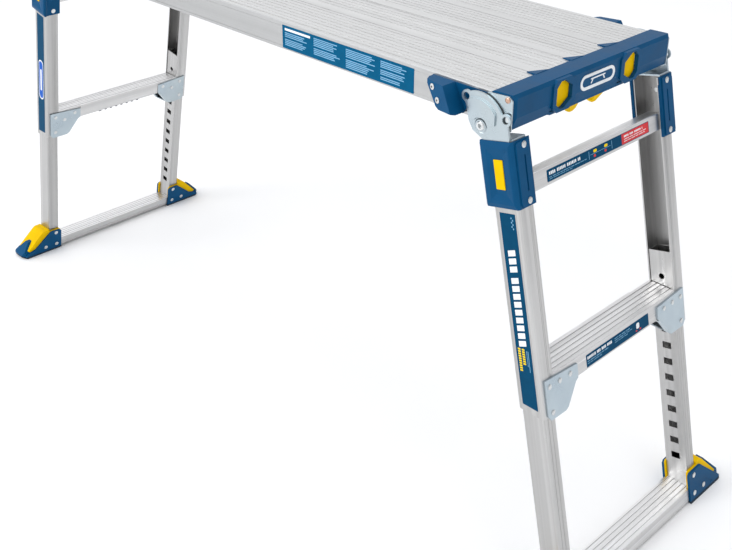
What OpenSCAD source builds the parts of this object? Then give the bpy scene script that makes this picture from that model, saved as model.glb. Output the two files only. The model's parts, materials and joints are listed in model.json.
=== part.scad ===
// Height-adjustable folding work platform: ribbed deck on two splayed leg frames,
// each with a telescoping inner frame, fold locks in the end caps and height grips.
// Millimetres, +Z up. Origin on the floor under the middle of the deck. X runs along the deck.

/* [Deck] */
// Height of the deck surface with the legs fully extended
deck_top = 762; // [756:1:770]
// Length over the end caps
deck_len = 1222; // [1200:2:1240]
// Width over the side rails
deck_w = 358; // [356:1:360]
// Height of the side rails
rail_h = 45; // [44:0.5:46]
// Distance between neighbouring grooves in the deck
rib_pitch = 10.3; // [10:0.1:10.4]

/* [Legs] */
// Splay of the legs from vertical, degrees
splay = 12.6; // [12.4:0.1:12.8]
// Distance between neighbouring height holes along the leg
hole_pitch = 28.6; // [28.4:0.1:28.8]
// Height of the lower end of the outer legs
outer_end_z = 313; // [311:0.5:315]
// Height of the middle rung's tread
rung_top = 372; // [370:0.5:374]

/* [Hidden] */

half_len = deck_len / 2;
rail_y = deck_w / 2;
cap_x0 = half_len - 38;          // inboard edge of the end caps, where the planks stop
px = half_len - 47;              // hinge pivot
pz = deck_top - 48;
rail_z0 = deck_top - rail_h;
cap_y = rail_y + 1.5;            // side face of the end caps
fix_y = cap_y;                   // fixed hinge plate, 2 thick
mov_y = fix_y + 4.2;             // moving hinge plate, 3.2 thick
lock_r = 43;                     // lock holes round the pivot
lock_a = 25;
lock_x = px + lock_r * cos(lock_a);
lock_z = pz + lock_r * sin(lock_a);
web_y = rail_y + 5.5;            // outer face of the outer legs
tip_y = rail_y - 23;             // flange tips of the outer legs, ends of the rungs
leg_u0 = 2;
leg_u1 = 45.2;
in_u0 = 5;
in_u1 = 42.2;
in_y0 = rail_y - 21.7;           // holed face of the inner legs
in_y1 = rail_y + 2.7;
rung_bot = rung_top - 28.3;
hole_u = 23.6;
hole_s0 = 403.4;                 // the hole that the height pin serves at full extension
pin_s = 403.4;
joint_y = [-88.5, -9, 73.5];        // lap joints between the planks, each with a smooth band behind it
$fn = 48;

// ---------- frames and helpers ----------
// leg frame: X across the leg, away from the deck's middle, Z up along the leg, pivot at 0
module leg_frame() translate([px, 0, pz]) rotate([0, -splay, 0]) children();

module left() mirror([1, 0, 0]) children();

module front() mirror([0, 1, 0]) children();

module both_sides() {
    children();
    front() children();
}

module both_ends() {
    children();
    left() children();
}

// everything between two planes parallel to the leg
module slab(u0, u1) leg_frame() translate([u0, -320, -820]) cube([u1 - u0, 640, 960]);

// outline in Y and Z, drawn out along X
module yz(x0, x1, pts) translate([x0, 0, 0]) rotate([90, 0, 90]) linear_extrude(x1 - x0) polygon(pts);

// outline in X and Z, drawn out along +Y
module xz(y0, y1) translate([0, y1, 0]) rotate([90, 0, 0]) linear_extrude(y1 - y0) children();

module box(x0, y0, z0, x1, y1, z1) translate([x0, y0, z0]) cube([x1 - x0, y1 - y0, z1 - z0]);

// pan-head rivets along +X and +Y
module rivet_x(p, r = 4, h = 1.4) translate(p) rotate([0, 90, 0]) {
    cylinder(h = h * 0.55, r = r);
    translate([0, 0, h * 0.55]) cylinder(h = h * 0.45, r1 = r, r2 = r * 0.62);
}

module rivet_y(p, r = 4, h = 1.4) translate(p) rotate([-90, 0, 0]) {
    cylinder(h = h * 0.55, r = r);
    translate([0, 0, h * 0.55]) cylinder(h = h * 0.45, r1 = r, r2 = r * 0.62);
}

// ---------- deck ----------
// grooves in the deck's surface, the first one at y
module rib_cuts(y, n) for (i = [0 : n - 1])
    translate([y + i * rib_pitch - 1.1, deck_top - 1.1]) square([2.2, 2]);

module stiffener(y) {
    translate([y - 1.2, deck_top - 24]) square([2.4, 22]);
    translate([y - 6, deck_top - 24]) square([12, 2.4]);
}

module plank_along(x1) translate([-x1, 0, 0]) rotate([90, 0, 90]) linear_extrude(2 * x1) children();

// skin of one plank from y0 to y1 with six grooves from y = first, and its stiffeners
module plank_skin(y0, y1, first, stiff) difference() {
    union() {
        translate([y0, deck_top - 5]) square([y1 - y0, 5]);
        for (y = stiff) stiffener(y);
    }
    rib_cuts(first, 6);
}

// tongue on a plank's rear edge, under the next plank
module tongue(y) {
    translate([y - 5, deck_top - 7.6]) square([4, 3]);
    translate([y - 2, deck_top - 7.6]) square([13, 2.4]);
}

// side rail with two fine grooves, drawn for the rear edge
module rail_section() difference() {
    polygon([[tip_y - 2, deck_top - 5], [tip_y - 2, rail_z0], [rail_y - 1, rail_z0],
        [rail_y, rail_z0 + 1],
        [rail_y, deck_top - 1.2], [rail_y - 1.2, deck_top], [tip_y - 2, deck_top]]);
    translate([tip_y + 0.4, rail_z0 + 2.4]) square([20.2, rail_h - 7.6]);
    rib_cuts(rail_y - 20.3, 2);
    for (z = [rail_z0 + 5, deck_top - 8]) translate([rail_y - 0.6, z]) square([2, 1.2]);
}

module deck_planks_middle() color("silver") {
    plank_along(cap_x0) {
        plank_skin(joint_y[0] + 0.6, joint_y[1] - 0.6, joint_y[0] + 23.2, [-74, -46, -18]);
        tongue(joint_y[1]);
    }
    plank_along(cap_x0) {
        plank_skin(joint_y[1] + 0.6, joint_y[2] - 0.6, joint_y[1] + 21.8, [10, 38, 65]);
        tongue(joint_y[2]);
    }
}

module deck_cross_members() color("silver") for (x = [-330, -110, 110, 330]) difference() {
    box(x - 20, -tip_y + 2.2, rail_z0 + 3, x + 20, tip_y - 2.2, deck_top - 24.1);
    box(x - 17.5, -tip_y - 5, rail_z0 - 2, x + 17.5, tip_y + 5, deck_top - 27);
}

// ---------- end caps ----------
function cap_profile() = [[cap_x0, deck_top + 0.1], [cap_x0 + 4, deck_top + 2.8],
    [half_len - 4, deck_top + 3.6], [half_len, deck_top - 1], [half_len, deck_top - 28],
    [half_len - 5, rail_z0 + 0.5], [half_len - 8, rail_z0 - 0.5], [cap_x0, rail_z0 - 0.5]];

// window opening, its frame, and the slide's plate behind it, in Y and Z
function hung(pts) = [for (q = pts) [q[0], deck_top + q[1]]];
window = hung([[61.5, -29], [61.5, -11], [78, 0], [87, 0], [95, -8.5], [95, -31.5], [87, -39],
    [78, -39]]);
window_frame = hung([[53, -33], [53, -6], [64, 2.8], [95, 2.8], [102.5, -5], [102.5, -34.5], [93, -43.2],
    [66, -43.2]]);
slide_plate = hung([[57.5, -31.5], [57.5, -8.5], [73, 0.4], [89, 0.4], [95.6, -6.5], [95.6, -33.5],
    [89, -41.4], [75, -41.4]]);

module across(x0, x1) translate([x0, 0, 0]) rotate([90, 0, 90]) linear_extrude(x1 - x0) children();

module end_cap() color("steelblue") difference() {
    union() {
        intersection() {
            xz(-cap_y, cap_y) polygon(cap_profile());
            // chamfered ends seen from above
            translate([0, 0, 600]) linear_extrude(300) polygon([[cap_x0, -cap_y], [half_len - 5, -cap_y],
                [half_len, -cap_y + 5], [half_len, cap_y - 5], [half_len - 5, cap_y], [cap_x0, cap_y]]);
        }
        // deeper lip under the middle
        yz(half_len - 8, half_len - 4.5, [[-108, rail_z0 + 2], [-98, rail_z0 - 1.6], [98, rail_z0 - 1.6],
            [108, rail_z0 + 2]]);
        // window frames
        both_sides() across(half_len - 6, half_len + 2.4) polygon(window_frame);
        // pointed tabs on the smooth bands of the planks
        for (y = joint_y) intersection() {
            translate([0, y - 4, deck_top + 0.1]) linear_extrude(6)
                polygon([[cap_x0 - 13, 0], [cap_x0 + 5, 24], [cap_x0 + 5, -3.5]]);
            xz(-200, 200) polygon([[cap_x0 - 14, deck_top], [cap_x0 - 14, deck_top + 1.2],
                [cap_x0 + 5, deck_top + 3.4], [cap_x0 + 5, deck_top]]);
        }
    }
    // hollow inside
    box(cap_x0 - 1, -cap_y + 4, rail_z0 + 3, half_len - 9, cap_y - 4, deck_top - 2.5);
    both_sides() box(half_len - 10, 43, rail_z0 + 7, half_len - 3.6, 103, deck_top - 2.5);
    both_sides() box(half_len - 10, 55, rail_z0 + 3, half_len - 3.6, 101, deck_top + 0.8);
    // windows
    both_sides() across(half_len - 8, half_len + 10) polygon(window);
    // slots for the triggers
    both_sides() box(cap_x0 + 4, 5, rail_z0 - 10, half_len - 12, 46, rail_z0 + 10);
    // lock pin bores
    both_sides() translate([lock_x, 78, lock_z]) rotate([-90, 0, 0]) cylinder(h = 130, r = 4.8);
    // seat for the badge
    across(half_len - 0.6, half_len + 5) stadium(deck_top - 18, 40.4, 11.4);
}

module stadium(zc, a, b) {
    translate([-a + b, zc - b]) square([2 * (a - b), 2 * b]);
    for (k = [-1, 1]) translate([k * (a - b), zc]) circle(b);
}

module cap_badge() color("white") difference() {
    across(half_len - 0.6, half_len + 0.9) stadium(deck_top - 18, 40, 11);
    across(half_len + 0.3, half_len + 5) stadium(deck_top - 18, 37.4, 8.4);
}

module cap_badges() both_ends() cap_badge();

bump_z = deck_top - 3.5;
bump_turn = 12.5;                // the outer face leans out towards the hinge, seen from above
// the outer face's Y at a distance from the pivot
function bump_y(dx) = rail_y + 18.4 + (dx + 88.4) * tan(bump_turn);

module corner_bumper() color("steelblue") {
    // base strip that runs on under the hinge plates
    xz(rail_y, rail_y + 1.5) polygon([[px - 93, bump_z], [cap_x0, bump_z], [cap_x0, pz + 16],
        [px - 31, pz + 16], [px - 34.5, rail_z0 + 5.5], [px - 38, rail_z0 + 1],
        [px - 60, rail_z0 + 1], [px - 70, rail_z0 + 8]]);
    // wedge-shaped block
    intersection() {
        xz(rail_y + 1, rail_y + 32) polygon([[px - 91.5, bump_z], [px - 53.5, bump_z],
            [px - 33.5, pz + 8], [px - 37, rail_z0 + 2.5], [px - 50, rail_z0 + 2.5], [px - 59, rail_z0 + 4.5],
            [px - 67.5, pz + 12]]);
        translate([0, 0, 600]) linear_extrude(300) polygon([[px - 94, rail_y], [px - 92.5, rail_y + 8],
            [px - 87, bump_y(-87)], [px - 30, bump_y(-30)], [px - 31, rail_y]]);
        yz(px - 120, px, [[rail_y, rail_z0], [rail_y + 10, rail_z0 + 1.5], [rail_y + 32, rail_z0 + 8],
            [rail_y + 32, deck_top], [rail_y, deck_top]]);
    }
}

// rivet seated on the bumper's outer face
module bumper_rivet(dx, z) translate([px + dx, bump_y(dx), z]) rotate([0, 0, bump_turn])
    rivet_y([0, 0.03, 0], 4.4, 1.5);

module corner_bumpers() both_ends() both_sides() corner_bumper();

// ---------- hinges ----------
module fixed_plate() color("lightsteelblue") xz(fix_y, fix_y + 2) difference() {
    union() {
        polygon([[px + 5, deck_top - 1], [half_len - 8, deck_top + 1.5], [half_len - 2.5, deck_top - 4],
            [half_len - 2.5, pz + 3], [px + 18, pz - 11], [px, pz - 10], [px - 13, pz + 1],
            [px - 17, pz + 4],
            [px - 28, pz + 8], [px - 26, pz + 13], [px - 13, pz + 30]]);
        translate([px, pz]) circle(15);
    }
    translate([px, pz]) circle(5);
    translate([lock_x, lock_z]) circle(4.8);
}

module hinge_fixed_plates() both_ends() both_sides() fixed_plate();

module pivot_pin() color("gainsboro") translate([px, 0, pz]) rotate([-90, 0, 0]) {
    difference() {
        union() {
            translate([0, 0, rail_y + 1.6]) cylinder(h = mov_y + 4.7 - rail_y - 1.6, r = 4.95);
            translate([0, 0, mov_y + 4.7]) cylinder(h = 1.2, r1 = 6.6, r2 = 5.4);
        }
        // hollow end
        translate([0, 0, mov_y + 2]) cylinder(h = 10, r = 3.1);
    }
}

module hinge_pivot_pins() both_ends() both_sides() pivot_pin();

module pivot_xz() translate([px, pz]) children();

module hinge_plate() color("lightsteelblue") {
    difference() {
        union() {
            xz(mov_y, mov_y + 3.2) {
                pivot_xz() intersection() {
                    translate([-5, 2]) circle(43.4);
                    polygon([[-27, 60], [-27, 24], [-24, 14], [-21, 2], [-14, -9.5], [2, -17], [60, -18],
                        [60, 60]]);
                }
                for (a = [lock_a, lock_a + 90 + splay]) pivot_xz() {
                    rotate(a) translate([lock_r, 0]) circle(8.5);
                    rotate(a) translate([30, -7]) square([lock_r - 30, 14]);
                }
            }
            // neck down the outer face of the leg, under the sleeve
            leg_frame() xz(mov_y, mov_y + 3.2) polygon([[-2, -4], [-2, -14], [0, -18.6], [4, -30],
                [4, -66],
                [43, -66], [44.5, -30], [44.5, 8], [30, 10]]);
            // pressed pocket
            pivot_xz_pad();
            // boss round the pivot
            translate([px, mov_y + 3, pz]) rotate([-90, 0, 0]) cylinder(h = 1.5, r1 = 10.5, r2 = 8.5);
            // flange folded over the top of the leg
            leg_frame() box(9, web_y - 26, -18.2, 47, mov_y + 0.5, -16);
            leg_frame() box(45.25, web_y - 26, -30, 47, mov_y + 0.5, -16);
        }
        translate([px, 100, pz]) rotate([-90, 0, 0]) cylinder(h = 200, r = 5.03);
        xz(100, 300) for (a = [lock_a, lock_a + 90 + splay]) pivot_xz()
            translate([lock_r * cos(a), lock_r * sin(a)]) circle(5.1);
    }
}

module pocket(r) difference() {
    intersection() {
        translate([-5, 2]) circle(r);
        polygon([[-17, 50], [-22.5, 26], [-19, 18], [-14, 9], [-6, 2.5], [6, 2], [23.3, 6.5],
            [23.6, 40]]);
    }
    circle(12);
}

module pivot_xz_pad() {
    xz(mov_y + 3, mov_y + 4.4) pivot_xz() pocket(36);
    xz(mov_y + 4.2, mov_y + 5.6) pivot_xz() pocket(34);
}

module hinge_plates() both_sides() hinge_plate();

// ---------- fold locks ----------
lock_front_x = half_len - 4.4;

module lock_slider() color("gold") {
    // face seen in the window
    across(half_len - 7.5, lock_front_x) polygon(slide_plate);
    box(half_len - 12.5, 66, deck_top - 34, half_len - 7, 92, deck_top - 5);
    // slide block that carries the pin
    box(lock_x - 9, 74, lock_z - 8.5, half_len - 11.5, 96, lock_z + 8);
    // bar across to the trigger
    box(half_len - 30, 20, rail_z0 + 4, half_len - 13, 88, rail_z0 + 13);
    // trigger under the cap
    intersection() {
        box(half_len - 31, 19, rail_z0 - 21, half_len - 14.5, 43, rail_z0 + 10);
        xz(0, 60) polygon([[half_len - 31, rail_z0 + 10], [half_len - 31, rail_z0 - 15],
            [half_len - 26, rail_z0 - 21], [half_len - 20, rail_z0 - 21],
            [half_len - 14.5, rail_z0 - 9], [half_len - 14.5, rail_z0 + 10]]);
        yz(half_len - 40, half_len, [[19, rail_z0 + 10], [19, rail_z0 - 17], [23, rail_z0 - 21],
            [31, rail_z0 - 21], [43, rail_z0 - 4], [43, rail_z0 + 10]]);
    }
}

module lock_pin() color("gainsboro") translate([lock_x, 0, lock_z]) rotate([-90, 0, 0]) {
    translate([0, 0, 96]) cylinder(h = mov_y - 0.4 - 96 - 1, r = 4.5);
    translate([0, 0, mov_y - 1.4]) cylinder(h = 1, r1 = 4.5, r2 = 3.6);
}

// ---------- outer leg frames ----------
module outer_leg() color("silver") difference() {
    leg_frame() translate([0, 0, -470]) linear_extrude(450) difference() {
        union() {
            translate([leg_u0, tip_y]) square([leg_u1 - leg_u0, web_y - 4 - tip_y]);
            translate([leg_u0 + 4, web_y - 6]) square([leg_u1 - leg_u0 - 8, 6]);
            for (u = [leg_u0 + 4, leg_u1 - 4]) translate([u, web_y - 4]) circle(4);
        }
        translate([leg_u0 + 2.5, tip_y - 1]) square([leg_u1 - leg_u0 - 5, web_y - 2.3 - tip_y + 1]);
        // fine lines drawn along the flanges and the web
        for (y = [tip_y + 6, tip_y + 9]) translate([leg_u1 - 0.5, y]) square([2, 0.9]);
        for (y = [tip_y + 6, tip_y + 9]) translate([leg_u0 - 1.5, y]) square([2, 0.9]);
        for (u = [6.5, 38.5]) translate([u, web_y - 0.4]) square([0.9, 2]);
    }
    box(400, -400, -100, 900, 400, outer_end_z);
}

module sleeve() color("steelblue") leg_frame() {
    difference() {
        union() {
            intersection() {
                translate([0, 0, -110.5]) linear_extrude(91.7) polygon([[-2.3, tip_y - 2],
                    [-2.3, rail_y + 4],
                    [-4, mov_y + 1.5], [-4, mov_y + 4.5], [-3.4, mov_y + 6.2], [-1.5, mov_y + 7],
                    [43.5, mov_y + 7], [46.5, mov_y + 5], [49.4, mov_y + 2], [49.4, tip_y - 2]]);
                across(-10, 70) polygon([[tip_y - 3, -18.8], [mov_y + 4.6, -18.8], [mov_y + 7, -25],
                    [mov_y + 7, -104.3], [mov_y + 4.6, -110.5], [tip_y - 3, -110.5]]);
            }
            // raised pad on the outboard side
            across(49, 51.6) polygon([[tip_y + 2, -21], [rail_y + 2, -21], [rail_y + 5, -24],
                [rail_y + 5, -105], [rail_y + 2, -108.5], [tip_y + 2, -108.5]]);
        }
        // leg, hinge plate neck and flange
        box(leg_u0 - 0.1, tip_y - 10, -200, leg_u1 + 0.1, web_y + 0.05, 0);
        box(-0.2, web_y - 10, -68, leg_u1 - 0.2, mov_y + 3.4, 0);
        box(8, tip_y - 10, -31, 47.3, mov_y + 3.4, 0);
        // picture-frame recess on the face
        intersection() {
            translate([0, 0, -100]) linear_extrude(71) polygon([[5.5, mov_y + 7.01], [15.6, mov_y + 5],
                [31.4, mov_y + 5], [41.5, mov_y + 7.01]]);
            across(0, 60) polygon([[mov_y + 7.01, -29], [mov_y + 5, -39.5], [mov_y + 5, -90],
                [mov_y + 7.01, -100]]);
        }
        // seat for the yellow inset, slot in the pad
        box(15.8, mov_y + 4.4, -84.6, 31.2, mov_y + 10, -43.4);
        box(50, rail_y - 11.5, -89, 60, rail_y - 8.5, -40);
    }
}

module leg_sleeves() both_sides() sleeve();

module sleeve_inset() color("gold") leg_frame() box(16, mov_y + 4.4, -84.4, 31, mov_y + 6.2, -43.6);

module sleeve_insets() both_sides() sleeve_inset();

module crossbar() color("silver") leg_frame() xz(-tip_y, tip_y) difference() {
    polygon([[22, -99], [43, -99], [43, -74.5], [41.5, -73], [23.5, -73], [22, -74.5]]);
    translate([24, -97]) square([17, 22]);
}

// tread section between leg planes, level top and bottom
module tread(u0, u1, z0, z1, y1) intersection() {
    slab(u0, u1);
    box(400, -y1, z0, 900, y1, z1);
}

module mid_rung() color("silver") difference() {
    tread(0.2, 45.3, rung_bot, rung_top, tip_y);
    tread(3, 42.5, rung_bot + 2.4, rung_top - 4, 400);
    tread(3, 36.5, rung_bot - 5, rung_bot + 3, 400);
    for (x = [6.5 : 8 : 40]) translate([rung_x + x, -200, rung_top - 1.3]) cube([2, 400, 3]);
    // room for the gussets' inner plates
    both_sides() intersection() {
        slab(-3, 1.65);
        box(400, rail_y - 76.3, 300, 900, 200, 400);
    }
}
rung_x = px + (pz - rung_top) * tan(splay);
low_top = 25.5;
low_x = px + (pz - low_top) * tan(splay);

gusset_y = rail_y - 2;

module gusset() color("lightsteelblue") {
    for (u = [-0.45, 45.3]) intersection() {
        slab(u, u + 2.1);
        yz(400, 900, [[gusset_y, rung_top - 2], [rail_y - 76, rung_top - 7], [rail_y - 76, rung_bot + 2],
            [rail_y - 70, rung_bot - 3], [rail_y - 48, rung_bot - 32], [rail_y - 42, rung_bot - 35],
            [rail_y - 8, rung_bot - 35], [gusset_y, rung_bot - 27]]);
    }
    // band along the rivets, standing proud
    intersection() {
        slab(47.3, 47.9);
        yz(400, 900, [[gusset_y, rung_top - 2], [rail_y - 76, rung_top - 7], [rail_y - 76, rung_bot + 6],
            [rail_y - 72, rung_bot + 2], [gusset_y, rung_bot + 6]]);
    }
    // sides folded in under the rung, joined below the height pin
    intersection() {
        slab(-0.5, 47.4);
        yz(400, 900, [[rail_y - 48, rung_bot - 32], [rail_y - 42, rung_bot - 35],
            [tip_y - 0.6, rung_bot - 35], [tip_y - 0.6, rung_bot - 33],
            [rail_y - 41.5, rung_bot - 33], [rail_y - 46.5, rung_bot - 30.4]]);
    }
    for (u = [-0.5, 39.3]) intersection() {
        slab(u, u + 8.1);
        yz(400, 900, [[rail_y - 76, rung_bot + 0], [rail_y - 70, rung_bot - 3],
            [rail_y - 48, rung_bot - 32],
            [rail_y - 46.4, rung_bot - 30.8], [rail_y - 68.6, rung_bot - 1.6],
            [rail_y - 74, rung_bot - 0.1]]);
    }
}

module gussets() both_sides() gusset();

// a point on a leg plane at a given height, as a rivet seat in the leg frame
function s_at(z, u) = (pz - z + u * sin(splay)) / cos(splay);

module leg_rivets_one() color("gainsboro") leg_frame() {
    for (q = [[rail_y - 11, 358.5], [rail_y - 34, 358], [rail_y - 58, 357.5]])
        rivet_x([47.9, q[0], -s_at(q[1], 47.9)], 4, 1.4);
    rivet_x([47.4, rail_y - 13, -s_at(319, 47.4)], 4, 1.4);
    for (q = [[rail_y - 14.5, 359], [rail_y - 62, 358], [rail_y - 36.5, 348], [rail_y - 14, 322]])
        mirror([1, 0, 0]) rivet_x([0.5, q[0], -s_at(q[1], 0)], 4, 1);
    for (s = [26, 102]) rivet_x([51.6, rail_y - 10, -s], 4.6, 1.6);
    for (s = [26, 102]) mirror([1, 0, 0]) rivet_x([2.3, rail_y - 10, -s], 4.6, 0.5);
    for (s = [46, 92]) mirror([0, 1, 0]) rivet_y([24, 2.3 - web_y, -s], 3.4, 0.3);
}

module leg_rivets() both_sides() leg_rivets_one();

// ---------- inner leg frames ----------
module inner_leg() color("silver") difference() {
    leg_frame() translate([0, 0, -760]) linear_extrude(462) difference() {
        union() {
            translate([in_u0, in_y0]) square([in_u1 - in_u0, in_y1 - 3 - in_y0]);
            translate([in_u0 + 3, in_y1 - 5]) square([in_u1 - in_u0 - 6, 5]);
            for (u = [in_u0 + 3, in_u1 - 3]) translate([u, in_y1 - 3]) circle(3);
        }
        translate([in_u0 + 2, in_y0 + 2]) square([in_u1 - in_u0 - 4, in_y1 - in_y0 - 4]);
        for (y = [in_y0 + 8, in_y0 + 15]) translate([in_u1 - 0.5, y]) square([2, 1.2]);
    }
    leg_frame() translate([24, in_y0 + 5, -341]) rotate([90, 0, 0]) cylinder(h = 10, r = 4.8);
    leg_frame() for (k = [0 : 9]) box(hole_u - 7.5, in_y0 - 5, -hole_s0 - k * hole_pitch - 5.5,
        hole_u + 7.5, in_y0 + 5, -hole_s0 - k * hole_pitch + 5.5);
    box(400, -400, -100, 900, 400, 6.6);
}

module bottom_rung() color("silver") difference() {
    union() {
        tread(2.6, 46, 5, low_top, tip_y - 4.4);
        tread(5.2, 42, 6.6, low_top, in_y0);
    }
    tread(7.4, 41, 7.6, low_top - 3.6, 400);
    for (x = [7.5 : 8 : 44]) translate([low_x + x, -200, low_top - 1.3]) cube([2, 400, 3]);
}

foot_in = rail_y - 26.5;
foot_out = rail_y + 71;
toe_y = foot_out - 7;
// X of leg line u at height z
function xu(u, z) = px + (pz - z) * tan(splay) + u / cos(splay);
function frontal(pts) = [for (q = pts) [xu(q[0], q[1]), q[1]]];

// side plate of a foot, its slope starting at y = top
module foot_plate(u0, u1, top) intersection() {
    slab(u0, u1);
    yz(600, 900, [[foot_in, 4.5], [foot_in, 49], [foot_in + 4, 53], [top - 3, 54], [top + 1, 53],
        [top + 41, 18], [toe_y - 6, 13.5], [toe_y, 8], [toe_y, 4.5]]);
}

// raised toe, narrow at its top, that laps over the insert's slope
module prow(g = 0) intersection() {
    yz(600, 900, [[foot_out + g, 7], [foot_out + g, 10.5], [foot_out - 21, 35.5 + g],
        [foot_out - 32, 36.5 + g], [foot_out - 36, 31], [foot_out - 36, 7]]);
    xz(180, 270) polygon(frontal([[2.75, 4.5], [2.75, 12], [5, 14], [18.5, 37], [28, 37], [42, 14],
        [44.3, 12], [44.3, 4.5]]));
}

module toe_outline(z0, z1, g) translate([0, 0, z0]) linear_extrude(z1 - z0) polygon([[xu(-6, 8), 100],
    [xu(-6, 8), toe_y + g], [xu(4, 8), toe_y + g], [xu(9, 8), foot_out + g], [xu(39, 8), foot_out + g],
    [xu(44, 8), toe_y + g], [xu(54, 8), toe_y + g], [xu(54, 8), 100]]);

module foot_shell() color("steelblue") {
    difference() {
        foot_plate(44.9, 49, rail_y + 11);
        // pressed crease
        slabbed(48.3, 52) yz(600, 900, [[rail_y + 15, 29], [rail_y + 41, 9.5], [rail_y + 37, 8]]);
    }
    foot_plate(-1, 2.7, rail_y);
    // floor of the shell and the toe
    intersection() {
        slab(2.6, 45);
        toe_outline(0, 60, 0);
        union() {
            yz(600, 900, [[foot_in, 4.5], [toe_y, 4.5], [foot_out, 7.5], [foot_out, 10.5],
                [foot_out - 14, 17], [foot_out - 18.5, 13], [rail_y + 8, 9.9], [rail_y + 8, 6.4],
                [foot_in, 6.4]]);
            prow();
        }
    }
}

module slabbed(u0, u1) intersection() {
    slab(u0, u1);
    children();
}

module foot_insert() color("gold") difference() {
    union() {
        for (q = [[2.8, 4.85], [42.35, 44.8]]) slabbed(q[0], q[1])
            yz(600, 900, [[foot_in + 1, 6.5], [foot_in + 1, 52], [foot_in + 4, 55.4], [rail_y + 3, 55.4],
                [rail_y + 3, 6.5]]);
        slabbed(2.8, 44.8)
            yz(600, 900, [[rail_y + 2.9, 10.2], [rail_y + 2.9, 59.5], [rail_y + 16, 59.5],
                [rail_y + 21, 57], [foot_out - 13.9, 18.5], [foot_out - 18.4, 13.2],
                [rail_y + 8.1, 10.2]]);
    }
    // inner edge cleared for the bottom rung
    tread(-10, 60, 0, low_top + 0.2, foot_in + 0.2);
    prow(0.05);
}

module foot_sole() color("midnightblue") difference() {
    intersection() {
        slab(-0.8, 49.2);
        toe_outline(-1, 5, -0.5);
        yz(600, 900, [[foot_in, 0], [toe_y - 4, 0], [foot_out, 4.4], [foot_in, 4.4]]);
    }
    for (x = [4 : 6.5 : 46]) box(xu(0, 0) + x, foot_in - 5, -1, xu(0, 0) + x + 2.4, 400, 1.6);
}

module foot_shells() both_sides() foot_shell();

module foot_inserts() both_sides() foot_insert();

module foot_soles() both_sides() foot_sole();

module inner_rivets_one() color("gainsboro") leg_frame() {
    for (q = [[rail_y - 13, 47], [rail_y - 14, 15], [rail_y + 14, 15.5]]) {
        rivet_x([49, q[0], -s_at(q[1], 49)], 4.4, 1.5);
        mirror([1, 0, 0]) rivet_x([1, q[0], -s_at(q[1], 0)], 4.4, 0.9);
    }
}

module inner_rivets() both_sides() inner_rivets_one();

// ---------- height adjustment ----------
module height_grip() color("midnightblue") difference() {
    union() {
        tread(3.5, 24, rung_bot - 3.6, rung_bot + 8, 52);
        tread(10, 30, rung_bot + 7.5, rung_bot + 11, 60);
    }
    for (k = [-3 : 3]) translate([600, k * 14, rung_bot - 5.4]) rotate([0, 90, 0])
        cylinder(h = 200, r = 5.4);
}

module height_pin() color("gainsboro") {
    leg_frame() {
        box(9, 134, -pin_s - 6, 38, 146, -pin_s + 6);
        box(hole_u - 6.5, 145.5, -pin_s - 4.5, hole_u + 6.5, in_y0 - 0.4, -pin_s + 4.5);
        box(17, 134, -pin_s + 5, 31, 138, -pin_s + 40);
        box(21, 72, -pin_s + 35, 27, 136, -pin_s + 40);
    }
}

// ---------- nodes ----------
module deck_plank_front() color("silver") plank_along(cap_x0) {
    mirror([1, 0, 0]) rail_section();
    plank_skin(1 - tip_y, joint_y[0] - 0.6, 30.6 - rail_y, [-124, -104]);
    tongue(joint_y[0]);
}

module deck_plank_rear() color("silver") plank_along(cap_x0) {
    rail_section();
    plank_skin(joint_y[2] + 0.6, tip_y - 1, joint_y[2] + 23.5, [96, 124]);
}

module end_cap_right() end_cap();

module end_cap_left() left() end_cap();

module deck_rivets() color("rosybrown") both_ends() both_sides() {
    rivet_y([px + 37, fix_y + 2, pz + 44], 4, 1.6);
    bumper_rivet(-75, deck_top - 11);
    bumper_rivet(-63, deck_top - 26.5);
}

deck_plank_front();
deck_plank_rear();
deck_planks_middle();
deck_cross_members();
end_cap_right();
end_cap_left();
cap_badges();
corner_bumpers();
hinge_fixed_plates();
hinge_pivot_pins();
deck_rivets();
front() lock_slider();  // lock_slider_rf
lock_slider();  // lock_slider_rr
left() front() lock_slider();  // lock_slider_lf
left() lock_slider();  // lock_slider_lr
front() lock_pin();  // lock_pin_rf
lock_pin();  // lock_pin_rr
left() front() lock_pin();  // lock_pin_lf
left() lock_pin();  // lock_pin_lr
front() outer_leg();  // outer_leg_rf
outer_leg();  // outer_leg_rr
hinge_plates();  // hinge_plates_right
leg_sleeves();  // leg_sleeves_right
sleeve_insets();  // sleeve_insets_right
crossbar();  // crossbar_right
mid_rung();  // mid_rung_right
gussets();  // gussets_right
leg_rivets();  // leg_rivets_right
left() front() outer_leg();  // outer_leg_lf
left() outer_leg();  // outer_leg_lr
left() hinge_plates();  // hinge_plates_left
left() leg_sleeves();  // leg_sleeves_left
left() sleeve_insets();  // sleeve_insets_left
left() crossbar();  // crossbar_left
left() mid_rung();  // mid_rung_left
left() gussets();  // gussets_left
left() leg_rivets();  // leg_rivets_left
front() inner_leg();  // inner_leg_rf
inner_leg();  // inner_leg_rr
bottom_rung();  // bottom_rung_right
foot_shells();  // foot_shells_right
foot_inserts();  // foot_inserts_right
foot_soles();  // foot_soles_right
inner_rivets();  // inner_rivets_right
left() front() inner_leg();  // inner_leg_lf
left() inner_leg();  // inner_leg_lr
left() bottom_rung();  // bottom_rung_left
left() foot_shells();  // foot_shells_left
left() foot_inserts();  // foot_inserts_left
left() foot_soles();  // foot_soles_left
left() inner_rivets();  // inner_rivets_left
height_grip();  // height_grip_right
front() height_pin();  // height_pin_rf
height_pin();  // height_pin_rr
left() height_grip();  // height_grip_left
left() front() height_pin();  // height_pin_lf
left() height_pin();  // height_pin_lr
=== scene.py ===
"""Looks of the folding work platform: finishes, edges, labels, studio and camera round the CAD part."""

import json
import math
import random

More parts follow.
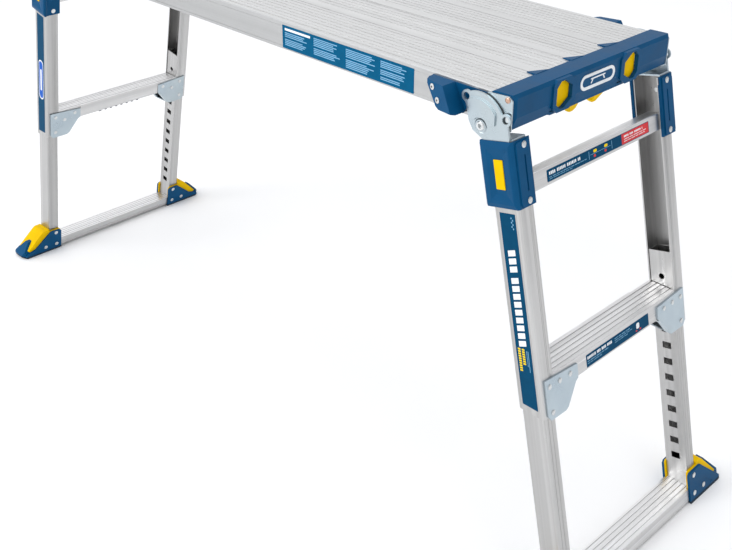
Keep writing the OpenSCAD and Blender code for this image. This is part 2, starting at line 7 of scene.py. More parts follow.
import bmesh
import bpy
from mathutils import Matrix, Vector


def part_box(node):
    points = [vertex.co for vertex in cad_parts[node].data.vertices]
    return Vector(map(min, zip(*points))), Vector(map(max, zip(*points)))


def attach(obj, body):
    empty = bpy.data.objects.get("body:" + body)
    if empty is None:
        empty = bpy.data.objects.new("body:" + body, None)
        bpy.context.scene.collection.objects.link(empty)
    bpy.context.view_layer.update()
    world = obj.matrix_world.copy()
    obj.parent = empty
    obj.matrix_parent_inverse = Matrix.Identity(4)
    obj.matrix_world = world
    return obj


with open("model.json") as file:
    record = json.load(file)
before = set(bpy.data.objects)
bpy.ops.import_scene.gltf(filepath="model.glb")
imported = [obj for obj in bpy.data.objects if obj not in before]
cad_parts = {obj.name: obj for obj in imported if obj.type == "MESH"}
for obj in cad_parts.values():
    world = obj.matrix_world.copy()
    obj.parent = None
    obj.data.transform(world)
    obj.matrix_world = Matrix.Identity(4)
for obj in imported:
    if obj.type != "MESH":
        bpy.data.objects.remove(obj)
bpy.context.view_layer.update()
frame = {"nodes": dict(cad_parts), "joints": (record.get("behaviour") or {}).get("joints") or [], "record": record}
nodes = frame["nodes"]
scene = bpy.context.scene

# ---------- driving sizes: metres for the frame and the finishes, millimetres for the labels ----------
MM = 1000
RIGHT, LEFT = 1, -1
ENDS = ((RIGHT, "right"), (LEFT, "left"))
SIDES = ((-1, "front"), (1, "rear"))
SPLAY = math.radians(12.6)
fold = next(joint for joint in frame["joints"] if joint["name"] == "leg_fold_right")
HINGE_X, HINGE_Z = fold["pos_m"][0], fold["pos_m"][2]


def leg_point(side, across, y, along):
    """A point given in millimetres across a leg, in Y, and down along it from the hinge."""
    x = HINGE_X + (across * math.cos(SPLAY) + along * math.sin(SPLAY)) / MM
    z = HINGE_Z + (across * math.sin(SPLAY) - along * math.cos(SPLAY)) / MM
    return Vector((side * x, y / MM, z))


def down_to(z, across):
    """How far down along a leg, from the hinge, its line at this distance across meets height z (mm)."""
    return (HINGE_Z * MM - z + across * math.sin(SPLAY)) / math.cos(SPLAY)


# ---------- node helpers ----------
class Tree:
    """A material's node tree, with short calls for the nodes that the finishes share."""

    def __init__(self, name):
        self.material = bpy.data.materials.new(name)
        self.material.use_nodes = True
        self.nodes = self.material.node_tree.nodes
        self.links = self.material.node_tree.links
        self.shader = self.nodes["Principled BSDF"]
        self.place = self.node("ShaderNodeTexCoord").outputs["Object"]

    def node(self, kind, **settings):
        made = self.nodes.new(kind)
        for key, value in settings.items():
            setattr(made, key, value)
        return made

    def feed(self, value, socket):
        """Sets a socket to a number or a colour, or links another node's output to it."""
        if isinstance(value, (int, float)):
            socket.default_value = value
        elif isinstance(value, tuple):
            socket.default_value = (*value, 1)
        else:
            self.links.new(value, socket)

    def calc(self, operation, *values):
        made = self.node("ShaderNodeMath", operation=operation)
        for value, socket in zip(values, made.inputs):
            self.feed(value, socket)
        return made.outputs[0]

    def separate(self, vector):
        made = self.node("ShaderNodeSeparateXYZ")
        self.links.new(vector, made.inputs[0])
        return made.outputs

    def mapped(self, scale, rotation=(0, 0, 0), vector=None):
        made = self.node("ShaderNodeMapping")
        made.inputs["Scale"].default_value = scale
        made.inputs["Rotation"].default_value = rotation
        self.links.new(vector or self.place, made.inputs["Vector"])
        return made.outputs[0]

    def noise(self, vector, scale=1.0, detail=3.0, rough=0.5):
        made = self.node("ShaderNodeTexNoise")
        made.inputs["Scale"].default_value = scale
        made.inputs["Detail"].default_value = detail
        made.inputs["Roughness"].default_value = rough
        self.links.new(vector, made.inputs["Vector"])
        return made.outputs["Fac"]

    def span(self, value, low, high, start=0.3, end=0.7):
        """Turns the range from start to end into the range from low to high."""
        made = self.node("ShaderNodeMapRange")
        made.inputs["From Min"].default_value = start
        made.inputs["From Max"].default_value = end
        made.inputs["To Min"].default_value = low
        made.inputs["To Max"].default_value = high
        self.links.new(value, made.inputs["Value"])
        return made.outputs[0]

    def blend(self, share, first, second, mode="MIX"):
        made = self.node("ShaderNodeMix", data_type="RGBA", blend_type=mode)
        self.feed(share, made.inputs["Factor"])
        for key, value in (("A", first), ("B", second)):
            socket = next(i for i in made.inputs if i.name == key and i.type == "RGBA")
            self.feed(value, socket)
        return next(o for o in made.outputs if o.type == "RGBA")

    def bump(self, height, distance, strength):
        made = self.node("ShaderNodeBump")
        made.inputs["Distance"].default_value = distance
        made.inputs["Strength"].default_value = strength
        self.links.new(height, made.inputs["Height"])
        return made.outputs[0]

    def finish(self, **values):
        for key, value in values.items():
            self.feed(value, self.shader.inputs[key.replace("_", " ")])
        return self.material


def scaled(colour, factor):
    """A colour made darker or lighter, with no channel over 1."""
    return tuple(min(1, channel * factor) for channel in colour)


def leg_coordinates(tree):
    """Object coordinates turned so that Z runs along a leg, the same on both ends."""
    x, y, z = tree.separate(tree.place)
    both_ends = tree.node("ShaderNodeCombineXYZ")
    for value, socket in zip((tree.calc("ABSOLUTE", x), y, z), both_ends.inputs):
        tree.feed(value, socket)
    return tree.mapped((1, 1, 1), (0, SPLAY, 0), both_ends.outputs[0])


def stretched(grain, along, across):
    """Noise scales drawn out along the grain: the deck's X, the rungs' Y, or down a leg."""
    return {
        "x": (along, across, across),
        "y": (across, along, across),
        "leg": (across, across, along),
    }[grain]


# ---------- finishes ----------
RAIL_FACE = 0.1776              # the side rails' outer faces lie beyond this, from the middle of the deck
# painted shade: a darker tone multiplied onto the side rails' outer faces
RAIL_PAINTED_SHADE = (0.66, 0.665, 0.67)
LIT_TOP_FACING = 0.8              # a face that looks up more than this gets painted light, the others painted shade
# painted shade on faces that don't look up, painted light on those that do
SIDE_PAINTED_SHADE, TOP_PAINTED_LIGHT = 0.88, 1.20
CHANNEL_MIDDLE = 0.0236         # across an outer leg, from the hinge
CHANNEL_HALF = 0.0196
WEB_INSIDE = 0.183              # inner face of the outer legs' webs, from the middle of the deck
SMUDGE_TINT = (0.86, 0.87, 0.90)
SCRATCH_COLOUR = (0.93, 0.93, 0.95)


def aluminium(name, grain, base, rough, contrast, streak, scratch=0.0, area=None):
    """Mill-finish extrusion: soft die bands and fine lines along the grain, smudges and rubbed patches.

    area is "channel" for painted shade inside an outer leg's channel, "rail" for painted shade on the deck's side
    rails' outer faces and "tread" for painted light on faces that look up and painted shade on all other faces.
    """
    tree = Tree(name)
    place = leg_coordinates(tree) if grain == "leg" else tree.place
    lines = tree.noise(tree.mapped(stretched(grain, 1.5, 300), vector=place), detail=2)
    bands = tree.noise(tree.mapped(stretched(grain, 0.8, 60), vector=place))
    smudge = tree.noise(place, scale=11, detail=4, rough=0.6)
    dust = tree.noise(place, scale=190, rough=0.6)
    tinted = tuple(channel * tint for channel, tint in zip(base, SMUDGE_TINT))
    dark, light = scaled(base, 1 - contrast), scaled(base, 1 + contrast * 0.6)
    colour = tree.blend(tree.span(bands, 0, 1, 0.32, 0.68), dark, light)
    colour = tree.blend(tree.span(lines, 0, streak, 0.42, 0.78), colour, scaled(base, 0.78))
    colour = tree.blend(tree.span(smudge, 0, 0.2, 0.52, 0.78), colour, tinted)
    if scratch:
        marks = tree.noise(tree.mapped(stretched(grain, 9, 420), vector=place), detail=2, rough=0.4)
        colour = tree.blend(tree.span(marks, 0, scratch, 0.62, 0.74), colour, SCRATCH_COLOUR)
    x, y, _ = tree.separate(place)
    # painted shade on the side rails' outer faces
    if area == "rail":
        on_face = tree.calc("GREATER_THAN", tree.calc("ABSOLUTE", y), RAIL_FACE)
        colour = tree.blend(on_face, colour, tree.blend(1.0, colour, RAIL_PAINTED_SHADE, "MULTIPLY"))
    # painted light on faces that look up and painted shade on all other faces
    if area == "tread":
        facing = tree.separate(tree.node("ShaderNodeNewGeometry").outputs["True Normal"])
        facing_up = tree.calc("GREATER_THAN", facing[2], LIT_TOP_FACING)
        painted_light_and_shade = tree.blend(facing_up, (SIDE_PAINTED_SHADE,) * 3, (TOP_PAINTED_LIGHT,) * 3)
        colour = tree.blend(1.0, colour, painted_light_and_shade, "MULTIPLY")
    # painted shade inside the outer legs' channels, between the flanges and behind the web
    if area == "channel":
        across = tree.calc("SUBTRACT", x, HINGE_X * math.cos(SPLAY) + HINGE_Z * math.sin(SPLAY))
        between_flanges = tree.calc("COMPARE", across, CHANNEL_MIDDLE, CHANNEL_HALF)
        behind_web = tree.calc("LESS_THAN", tree.calc("ABSOLUTE", y), WEB_INSIDE)
        inside = tree.calc("MULTIPLY", between_flanges, behind_web)
        channel_shade = tree.blend(tree.span(bands, 0, 1, 0.35, 0.65), scaled(base, 0.58), scaled(base, 0.82))
        colour = tree.blend(inside, colour, channel_shade)
    satin = tree.span(lines, rough - 0.05, rough + 0.07)
    roughness = tree.calc("ADD", tree.span(smudge, -0.05, 0.07), satin)
    roughness = tree.calc("ADD", roughness, tree.span(dust, -0.02, 0.03))
    height = tree.calc("ADD", tree.calc("MULTIPLY", lines, 0.4), tree.calc("MULTIPLY", bands, 0.6))
    return tree.finish(Base_Color=colour, Metallic=1.0, Roughness=roughness,
                       Normal=tree.bump(height, 0.00025, 0.35))


def zinc(name):
    """Pale blue zinc plating with soft mottling, faint spangle and darker handling marks."""
    tree = Tree(name)
    cloud = tree.noise(tree.place, scale=22, detail=4, rough=0.6)
    fine = tree.noise(tree.place, scale=420, rough=0.55)
    handling = tree.noise(tree.place, scale=9, detail=2)
    colour = tree.blend(tree.span(cloud, 0, 1), (0.41, 0.485, 0.54), (0.50, 0.575, 0.62))
    colour = tree.blend(tree.span(handling, 0, 0.45, 0.48, 0.72), colour, (0.45, 0.49, 0.475))
    roughness = tree.calc("ADD", tree.span(cloud, 0.26, 0.38), tree.span(fine, -0.03, 0.05))
    return tree.finish(Base_Color=colour, Metallic=0.92, Roughness=roughness,
                       Normal=tree.bump(fine, 0.00012, 0.3))


CAP_RIVETS_FROM = 0.56          # the end caps' rivets lie beyond this along the deck


def steel(name, base, rough, cap_tint=None):
    """Turned or headed steel, with an optional second colour on the rivets of the end caps."""
    tree = Tree(name)
    cloud = tree.noise(tree.place, scale=90, rough=0.6)
    fine = tree.noise(tree.place, scale=900, rough=0.55)
    colour = tree.blend(tree.span(cloud, 0, 1), scaled(base, 0.84), scaled(base, 1.08))
    if cap_tint:
        x = tree.separate(tree.place)[0]
        on_cap = tree.calc("GREATER_THAN", tree.calc("ABSOLUTE", x), CAP_RIVETS_FROM)
        colour = tree.blend(on_cap, colour, cap_tint)
    roughness = tree.calc("ADD", tree.span(cloud, rough - 0.05, rough + 0.08), tree.span(fine, -0.03, 0.04))
    return tree.finish(Base_Color=colour, Metallic=1.0, Roughness=roughness,
                       Normal=tree.bump(fine, 0.00006, 0.4))


def plastic(name, base, worn, rough=0.38, gloss=0.09):
    """Moulded plastic: fine spark-eroded grain, slight flow clouding, scuffs and rubbed lighter patches."""
    tree = Tree(name)
    cloud = tree.noise(tree.place, scale=18, detail=4, rough=0.6)
    grain = tree.noise(tree.place, scale=1300, rough=0.6)
    scuff = tree.noise(tree.mapped((60, 240, 60)), detail=5, rough=0.72)
    colour = tree.blend(tree.span(cloud, 0, 1), scaled(base, 0.88), scaled(base, 1.1))
    colour = tree.blend(tree.span(scuff, 0, 0.16, 0.64, 0.84), colour, worn)
    satin = tree.span(cloud, rough - 0.04, rough + 0.06)
    roughness = tree.calc("ADD", satin, tree.span(scuff, 0, 0.1, 0.55, 0.8))
    return tree.finish(Base_Color=colour, Metallic=0.0, Roughness=roughness, Specular_IOR_Level=gloss,
                       Normal=tree.bump(grain, 0.00008, 0.4))


def rubber(name):
    """Dark sole rubber with a fine grain and pale dust."""
    tree = Tree(name)
    cloud = tree.noise(tree.place, scale=30, detail=4, rough=0.65)
    grain = tree.noise(tree.place, scale=700, rough=0.6)
    dust = tree.noise(tree.place, scale=75, detail=5, rough=0.75)
    colour = tree.blend(tree.span(cloud, 0, 1), (0.006, 0.018, 0.036), (0.013, 0.032, 0.058))
    colour = tree.blend(tree.span(dust, 0, 0.2, 0.58, 0.8), colour, (0.12, 0.13, 0.14))
    return tree.finish(Base_Color=colour, Roughness=tree.span(cloud, 0.62, 0.8), Specular_IOR_Level=0.3,
                       Normal=tree.bump(grain, 0.0002, 0.5))


def printed(name, base):
    """Printed film: ink mottle and a fine screen on a satin laminate."""
    tree = Tree(name)
    cloud = tree.noise(tree.place, scale=60, rough=0.6)
    dots = tree.noise(tree.place, scale=1500, detail=2)
    colour = tree.blend(tree.span(cloud, 0, 1), scaled(base, 0.92), scaled(base, 1.07))
    roughness = tree.calc("ADD", tree.span(cloud, 0.36, 0.46), tree.span(dots, -0.02, 0.02))
    return tree.finish(Base_Color=colour, Roughness=roughness, Specular_IOR_Level=0.035,
                       Normal=tree.bump(dots, 0.00003, 0.3))


FINISH = {
    # the deck's finish carries painted shade on the side rails' outer faces
    "deck_aluminium": aluminium("deck_aluminium", "x", (0.755, 0.755, 0.75), rough=0.40, contrast=0.06,
                                streak=0.10, area="rail"),
    "leg_aluminium": aluminium("leg_aluminium", "leg", (0.53, 0.527, 0.522), rough=0.33, contrast=0.24,
                               streak=0.42),
    # the rungs' finish carries painted light on up-facing faces and painted shade on the rest
    "rung_aluminium": aluminium("rung_aluminium", "y", (0.76, 0.757, 0.755), rough=0.33, contrast=0.15,
                                streak=0.3, scratch=0.6, area="tread"),
    "blue_plastic": plastic("blue_plastic", (0.0018, 0.065, 0.166), worn=(0.03, 0.12, 0.24)),
    "navy_plastic": plastic("navy_plastic", (0.002, 0.016, 0.042), worn=(0.03, 0.06, 0.10), rough=0.46),
    "yellow_plastic": plastic("yellow_plastic", (0.80, 0.50, 0.002), worn=(0.85, 0.62, 0.08), rough=0.4,
                              gloss=0.03),
    "white_plastic": plastic("white_plastic", (0.80, 0.82, 0.84), worn=(0.7, 0.7, 0.7), rough=0.3),
    "zinc_plate": zinc("zinc_plate"),
    "steel_fasteners": steel("steel_fasteners", (0.66, 0.68, 0.685), rough=0.26),
    "sole_rubber": rubber("sole_rubber"),
}
DECK_RIVETS = steel("deck_rivet_steel", (0.72, 0.72, 0.715), rough=0.26, cap_tint=(0.56, 0.36, 0.27))
# outer legs: aluminium with painted shade inside their channels
OUTER_LEG_WITH_CHANNEL_SHADE = aluminium("outer_leg_aluminium_channel_shade", "leg", (0.55, 0.547, 0.542), rough=0.35, contrast=0.22,
                      streak=0.40, area="channel")
# dark discs: painted shade standing for the hollow ends of the bumper rivets
RIVET_HOLE_SHADE = steel("rivet_hole_painted_shade", (0.16, 0.16, 0.165), rough=0.45)
INK_COLOURS = {
    "teal": (0.001, 0.090, 0.196),
    "navy": (0.002, 0.057, 0.128),
    "sky": (0.020, 0.110, 0.480),
    "pale": (0.20, 0.42, 0.62),
    "white": (0.82, 0.84, 0.86),
    "yellow": (0.86, 0.62, 0.01),
    "red": (0.62, 0.055, 0.06),
}
INK = {ink: printed(f"ink_{ink}", colour) for ink, colour in INK_COLOURS.items()}

# ---------- finishes and edges on the CAD nodes ----------
EDGE_RADIUS = {                 # mm, by material slot
    "blue_plastic": 1.1, "yellow_plastic": 0.8, "white_plastic": 0.3, "zinc_plate": 0.5,
    "leg_aluminium": 0.35, "rung_aluminium": 0.3, "deck_aluminium": 0.0, "navy_plastic": 0.9,
    "steel_fasteners": 0.0, "sole_rubber": 0.3,
}
BUMPER_EDGE = 0.7               # mm
SAME_POINT = 0.000005
FLAT_WITHIN = math.radians(0.6)
CREASE_FROM = math.radians(28)


def soften(piece, radius):
    """Real edge radii: faces of one plane are merged, then every crease is rounded."""
    if radius <= 0:
        return
    weld = piece.modifiers.new("weld", "WELD")
    weld.merge_threshold = SAME_POINT
    merge = piece.modifiers.new("planar", "DECIMATE")
    merge.decimate_type = "DISSOLVE"
    merge.angle_limit = FLAT_WITHIN
    edge = piece.modifiers.new("edge", "BEVEL")
    edge.width = radius / MM
    edge.segments = 2
    edge.limit_method = "ANGLE"
    edge.angle_limit = CREASE_FROM
    edge.use_clamp_overlap = True
    edge.harden_normals = True


for row in frame["record"]["subparts"]:
    name, slot_name = row["node"], row["material_slot"]
    piece = nodes[name]
    piece.data.materials.clear()
    piece.data.materials.append(FINISH[slot_name])
    soften(piece, BUMPER_EDGE if name == "corner_bumpers" else EDGE_RADIUS[slot_name])
nodes["deck_rivets"].data.materials[0] = DECK_RIVETS
for name, piece in nodes.items():
    if name.startswith("outer_leg"):
        piece.data.materials[0] = OUTER_LEG_WITH_CHANNEL_SHADE

# ---------- films and their marks, in millimetres ----------
FILM = (-0.02, 0.14)            # heights of a film's two faces over the metal
PRINT = (0.1, 0.18)             # and those of the marks on it
PRINT_BY_INK = {"red": (0.1, 0.17), "sky": (0.1, 0.22)}
OVER_RED = (0.15, 0.23)
OVER_SKY = (0.2, 0.28)
FILM_CORNER = 1.2
CORNER_STEPS = 4


def rounded(width, height, radius):
    """Outline of a rectangle with rounded corners, centred on 0, in its own plane."""
    points = []
    for quarter, (way_a, way_b) in enumerate(((1, 1), (-1, 1), (-1, -1), (1, -1))):
        centre_a, centre_b = way_a * (width / 2 - radius), way_b * (height / 2 - radius)
        for step in range(CORNER_STEPS + 1):
            angle = math.radians(90 * quarter + 90 * step / CORNER_STEPS)
            points.append((centre_a + radius * math.cos(angle), centre_b + radius * math.sin(angle)))
    return points


def bar(left, right, low, high, radius=0.0):
    if radius <= 0:
        return [(left, low), (right, low), (right, high), (left, high)]
    outline = rounded(right - left, high - low, radius)
    return [((left + right) / 2 + a, (low + high) / 2 + b) for a, b in outline]


def sheet_mesh(name, outlines, place, faces_at, material, body):
    """Thin prisms with the given outlines (mm, in their own plane), put in space by place(a, b, height)."""
    vertices, faces = [], []
    for outline in outlines:
        count, first = len(outline), len(vertices)
        for height in faces_at:
            vertices += [place(a, b, height) for a, b in outline]
        faces.append([first + i for i in reversed(range(count))])
        faces.append([first + count + i for i in range(count)])
        for i in range(count):
            after = (i + 1) % count
            faces.append([first + i, first + after, first + count + after, first + count + i])
    mesh = bpy.data.meshes.new(name)
    mesh.from_pydata([tuple(v) for v in vertices], [], faces)
    mesh.materials.append(material)
    piece = bpy.data.objects.new(name, mesh)
    scene.collection.objects.link(piece)
    work = bmesh.new()
    work.from_mesh(mesh)
    bmesh.ops.recalc_face_normals(work, faces=work.faces)
    work.to_mesh(mesh)
    work.free()
    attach(piece, body)


def label(name, body, place, film, film_ink, marks):
    """A film with printed marks on it: film is one outline, marks is {ink: [outlines]}."""
    sheet_mesh(name, [film], place, FILM, INK[film_ink], body)
    for ink, outlines in marks.items():
        sheet_mesh(f"{name}_{ink}", outlines, place, PRINT_BY_INK.get(ink, PRINT), INK[ink], body)


def words(left, right, low, high, unit):
    """A row of plain upright bars in groups, standing for a line of bold print."""
    outlines, start = [], left
    while start < right - unit:
        for _ in range(rng.randint(3, 7)):
            width = unit * rng.uniform(0.55, 0.95)
            if start + width > right:
                return outlines
            outlines.append(bar(start, start + width, low, high))
            start += width + unit * 0.35
        start += unit * 0.9
    return outlines


def text_lines(left, right, top, rows, pitch, thick, gap_after):
    """Plain bars that stand for lines of small print, with a wider gap after some of them."""
    outlines = []
    for row in range(rows):
        outlines.append(bar(left, left + (right - left) * rng.uniform(0.7, 1.0), top - thick, top))
        top -= pitch * (1.8 if row in gap_after else 1)
    return outlines


def ladder(left, right, start, count, pitch, thick):
    """Equal bars, one after another down the strip."""
    return [bar(left, right, start + pitch * k, start + pitch * k + thick) for k in range(count)]


rng = random.Random(7)

# ---------- deck label, on the front rail ----------
rail_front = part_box("deck_plank_front")[0].y * MM
# left end, right end, top line, number of lines and the lines that have a gap after them
PRINT_COLUMNS = (
    (164, 220, 745.5, 7, (2,)),
    (230, 290, 752, 9, (4,)),
    (300, 360, 752, 10, (4,)),
    (371, 424, 752, 9, (3, 6)),
)


def on_rail(x, z, height):
    return Vector((x, rail_front - height, z)) / MM


small_print = []
for left, right, top, rows, gap_after in PRINT_COLUMNS:
    small_print += text_lines(left, right, top, rows, pitch=2.75, thick=1.5, gap_after=gap_after)
label("label_deck", "deck", on_rail, bar(158, 436, 719.6, 756.4, FILM_CORNER), "teal",
      {"white": [bar(164, 222, 748.6, 752.2)], "pale": small_print})

# ---------- crossbar label, on the outboard face of the right frame's crossbar ----------
CROSSBAR_FACE = 43.0            # across the leg


def on_crossbar(y, along, height):
    return leg_point(RIGHT, CROSSBAR_FACE + height, y, along)


headline = words(-114, -44, 81.6, 86.0, unit=3.2)
small_print = words(-114, -30, 88.6, 89.8, unit=1.6) + words(-114, -62, 91.2, 92.2, unit=1.6)
rules = [bar(-20, 28, 86.2, 86.7), bar(-24, -23.2, 80.5, 92), bar(31, 31.8, 80.5, 92)]
label("label_crossbar", "leg_right", on_crossbar, bar(-119, 126, 78, 95, FILM_CORNER), "navy", {
    "white": headline,
    "pale": small_print + rules,
    "yellow": [bar(-13, -5, 81.0, 85.2, 1.9), bar(13, 21, 81.0, 85.2, 1.9)],
    "red": [bar(56, 125, 78.8, 94.2, 0.9), bar(-13, -8, 88.0, 91.8, 1.8), bar(13, 18, 88.0, 91.8, 1.8)],
})
note = words(62, 112, 82.0, 84.8, unit=2.6)
note += words(62, 120, 87.0, 88.2, unit=1.6)
note += words(62, 116, 90.0, 91.2, unit=1.6)
sheet_mesh("label_crossbar_note", note, on_crossbar, OVER_RED, INK["white"], "leg_right")

# ---------- middle rung label, on the outboard face of the right frame's middle rung ----------
RUNG_FACE = 45.3                # across the leg


def on_rung(y, z, height):
    return leg_point(RIGHT, RUNG_FACE + height, y, down_to(z, RUNG_FACE))


headline = words(-76, -14, 357.4, 361.6, unit=2.7)
small_print = words(-76, -24, 353.6, 355, unit=1.7) + words(-76, -40, 350.6, 351.8, unit=1.7)
for right, low, high in ((34, 360, 361.2), (38, 357, 358.2), (26, 354, 355.2)):
    small_print += words(-8, right, low, high, unit=1.6)
label("label_rung", "leg_right", on_rung, bar(-79, 81, 346, 365, FILM_CORNER), "navy", {
    "white": headline + [bar(48, 56, 352, 361, 2.6)],
    "pale": small_print,
    "red": [bar(46, 50, 348.4, 350.8, 0.8), bar(56, 60, 348.4, 350.8, 0.8)],
})

# ---------- strips down the front legs ----------
leg_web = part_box("outer_leg_rf")[0].y * MM
STRIP_SIDES = (10.4, 36.5)      # across the leg
STRIP_TOP = 119                 # along the leg from the hinge
STRIP_END_Z = 323               # height where the strip is cut level


def slanted_block(top):
    return [(17, top + 2.6), (29.5, top), (29.5, top + 8.4), (17, top + 11)]


def right_strip_marks():
    """Slanted blocks with a gap after the third, two ladders, two lines and a zigzag of dots."""
    blocks = [slanted_block(170 + 11.6 * k + (5 if k > 2 else 0)) for k in range(12)]
    ladders = ladder(13.8, 18.2, 316, count=10, pitch=3.6, thick=2.5)
    ladders += ladder(20.6, 25.0, 316, count=7, pitch=3.6, thick=2.5)
    pale = [bar(30.6, 31.4, 318, 350), bar(28.2, 29.0, 318, 342)]
    for k in range(6):
        shift = 2 * (k % 2)
        pale.append(bar(28.6 + shift, 30.2 + shift, 124 + 3 * k, 126.2 + 3 * k))
    return {"white": blocks, "yellow": ladders, "pale": pale}


def left_strip_marks():
    """One long rounded field with a rim."""
    return {"white": [bar(14.5, 32.5, 226, 322, 8.9)], "sky": [bar(16.0, 31.0, 229, 319, 7.4)]}


def on_strip(side):
    return lambda across, along, height: leg_point(side, across, leg_web - height, along)


inner, outer = STRIP_SIDES
strip = [(inner, STRIP_TOP), (outer, STRIP_TOP),
         (outer, down_to(STRIP_END_Z, outer)), (inner, down_to(STRIP_END_Z, inner))]
label("label_strip_right", "leg_right", on_strip(RIGHT), strip, "navy", right_strip_marks())
label("label_strip_left", "leg_left", on_strip(LEFT), strip, "navy", left_strip_marks())
sheet_mesh("label_strip_left_bar", [bar(21, 26, 248, 300, 2.4)], on_strip(LEFT), OVER_SKY,
           INK["white"], "leg_left")

# ---------- blue field and a plain platform mark on the cap badges ----------
BADGE_RIM = 0.6                 # the rim's height over the field
BADGE_FIELD = (-0.02, 0.12)
BADGE_MARK = (0.1, 0.3)
badge_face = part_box("cap_badges")[1].x * MM - BADGE_RIM


def on_cap(side):
    return lambda y, z, height: Vector((side * (badge_face + height), y, z)) / MM


near_leg = [(-13.4, 745.8), (-10.8, 745.8), (-14.2, 740.2), (-16.8, 740.2)]
far_leg = [(-a, b) for a, b in near_leg]
for side, word in ENDS:
    sheet_mesh(f"badge_field_{word}", [bar(-35.4, 35.4, 737.6, 750.4, 6.3)], on_cap(side), BADGE_FIELD,
               FINISH["blue_plastic"], "deck")
    sheet_mesh(f"badge_mark_{word}", [bar(-17, 17, 745.6, 747.6, 0.9), near_leg, far_leg], on_cap(side),
               BADGE_MARK, FINISH["white_plastic"], "deck")

# ---------- painted shade for the hollow ends of the blind rivets on the corner bumpers ---
BUMPER_TURN = math.radians(12.5)
BUMPER_START = (475.6, 197.4)   # where the slanted face starts, in X and Y
RIVET_HEAD = 1.53               # the heads' height over that face
RIVET_PLACES = ((489.0, 751.0), (501.0, 735.5))
HOLE_SHADE_RADIUS = 1.7
HOLE_SHADE_SIDES = 16
HOLE_SHADE = (-0.02, 0.06)


def on_bumper(side, way):
    """The plane of the rivets' heads on one bumper: a in X, b in Z."""
    def place(a, b, height):
        face_y = BUMPER_START[1] + (a - BUMPER_START[0]) * math.tan(BUMPER_TURN) + RIVET_HEAD
        x = a - (RIVET_HEAD + height) * math.sin(BUMPER_TURN)
        return Vector((side * x, way * (face_y + height * math.cos(BUMPER_TURN)), b)) / MM
    return place


def ring(centre_a, centre_b):
    angles = [2 * math.pi * k / HOLE_SHADE_SIDES for k in range(HOLE_SHADE_SIDES)]
    return [(centre_a + HOLE_SHADE_RADIUS * math.cos(t), centre_b + HOLE_SHADE_RADIUS * math.sin(t)) for t in angles]


for side, word in ENDS:
    for way, end in SIDES:
        hole_shades = [ring(*place) for place in RIVET_PLACES]
        sheet_mesh(f"rivet_hole_shades_{word}_{end}", hole_shades, on_bumper(side, way), HOLE_SHADE, RIVET_HOLE_SHADE,
                   "deck")

# ---------- floor ----------
FLOOR_HALF = 14
corners = [(-1, -1), (1, -1), (1, 1), (-1, 1)]
floor_mesh = bpy.data.meshes.new("floor")
floor_mesh.from_pydata([(FLOOR_HALF * x, FLOOR_HALF * y, 0) for x, y in corners], [], [(0, 1, 2, 3)])
floor = bpy.data.objects.new("floor", floor_mesh)
scene.collection.objects.link(floor)
floor_tree = Tree("floor_pale")
paper = floor_tree.span(floor_tree.noise(floor_tree.place, scale=3), 0, 1)
floor_colour = floor_tree.blend(paper, (0.955, 0.955, 0.955), (0.97, 0.97, 0.97))
floor_finish = floor_tree.finish(Base_Color=floor_colour, Roughness=0.9, Specular_IOR_Level=0.1)
floor_mesh.materials.append(floor_finish)

# ---------- studio light ----------
SKY_COLOURS = ((0.0, (1.0, 1.0, 1.0, 1)), (0.4, (0.86, 0.87, 0.89, 1)), (1.0, (0.96, 0.97, 1.0, 1)))
SKY_STRENGTH = 0.98
SKY_LEAN = (-0.24, -0.26)       # brighter in front of the deck than behind it, and dimmer at its right end

world = bpy.data.worlds.new("studio")
scene.world = world
world.use_nodes = True
sky_nodes, sky_links = world.node_tree.nodes, world.node_tree.links
background = sky_nodes["Background"]
direction = sky_nodes.new("ShaderNodeSeparateXYZ")
sky_links.new(sky_nodes.new("ShaderNodeTexCoord").outputs["Generated"], direction.inputs[0])
ramp = sky_nodes.new("ShaderNodeValToRGB")
elements = ramp.color_ramp.elements
elements[0].position, elements[0].color = SKY_COLOURS[0]
elements[1].position, elements[1].color = SKY_COLOURS[2]
elements.new(SKY_COLOURS[1][0]).color = SKY_COLOURS[1][1]
sky_links.new(direction.outputs[2], ramp.inputs[0])
sky_links.new(ramp.outputs[0], background.inputs["Color"])


def sky_math(operation, first, second):
    made = sky_nodes.new("ShaderNodeMath")
    made.operation = operation
    sky_links.new(first, made.inputs[0])
    if isinstance(second, float):
        made.inputs[1].default_value = second
    else:
        sky_links.new(second, made.inputs[1])
    return made.outputs[0]


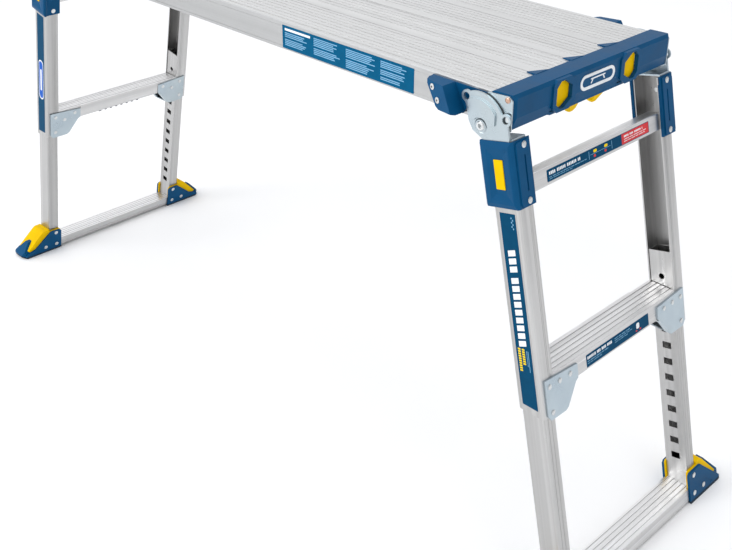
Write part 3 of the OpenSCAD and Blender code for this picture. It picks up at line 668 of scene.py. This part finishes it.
lean_x, lean_y = (sky_math("MULTIPLY", direction.outputs[axis], SKY_LEAN[axis]) for axis in (0, 1))
strength = sky_math("ADD", sky_math("ADD", lean_x, lean_y), SKY_STRENGTH)
sky_links.new(strength, background.inputs["Strength"])


def softbox(name, place, target, size, power):
    light = bpy.data.lights.new(name, "AREA")
    light.shape = "RECTANGLE"
    light.size, light.size_y = size
    light.energy = power
    lamp = bpy.data.objects.new(name, light)
    scene.collection.objects.link(lamp)
    lamp.location = place
    lamp.rotation_euler = (Vector(target) - Vector(place)).to_track_quat("-Z", "Y").to_euler()


softbox("key", place=(-1.0, -2.8, 2.8), target=(0, 0, 0.45), size=(2.4, 2.0), power=52)
softbox("fill", place=(3.2, -0.6, 1.9), target=(0, 0, 0.4), size=(1.8, 2.4), power=8)
softbox("top", place=(0.2, 0.8, 3.8), target=(0, 0, 0.4), size=(4.6, 3.4), power=22)

# ---------- camera ----------
CAMERA_PLACE = (1.3764, -1.1916, 1.2554)
YAW, PITCH, ROLL = math.radians(46.380), math.radians(-25.376), math.radians(-0.150)
LENS, SENSOR = 52.7213115, 36   # mm
SHIFT_X, SHIFT_Y = 0.01807377, -0.14071038
NEAR, FAR = 0.05, 100

camera_data = bpy.data.cameras.new("camera")
camera = bpy.data.objects.new("camera", camera_data)
scene.collection.objects.link(camera)
scene.camera = camera
forward = Vector((-math.sin(YAW) * math.cos(PITCH), math.cos(YAW) * math.cos(PITCH), math.sin(PITCH)))
level_right = Vector((math.cos(YAW), math.sin(YAW), 0))
level_up = level_right.cross(forward)
camera_right = level_right * math.cos(ROLL) + level_up * math.sin(ROLL)
camera_up = level_up * math.cos(ROLL) - level_right * math.sin(ROLL)
turn = Matrix((camera_right, camera_up, -forward)).transposed()
camera.matrix_world = Matrix.Translation(CAMERA_PLACE) @ turn.to_4x4()
camera_data.sensor_width = SENSOR
camera_data.lens = LENS
camera_data.shift_x, camera_data.shift_y = SHIFT_X, SHIFT_Y
camera_data.clip_start, camera_data.clip_end = NEAR, FAR
scene.view_settings.view_transform = "Standard"
scene.view_settings.look = "None"
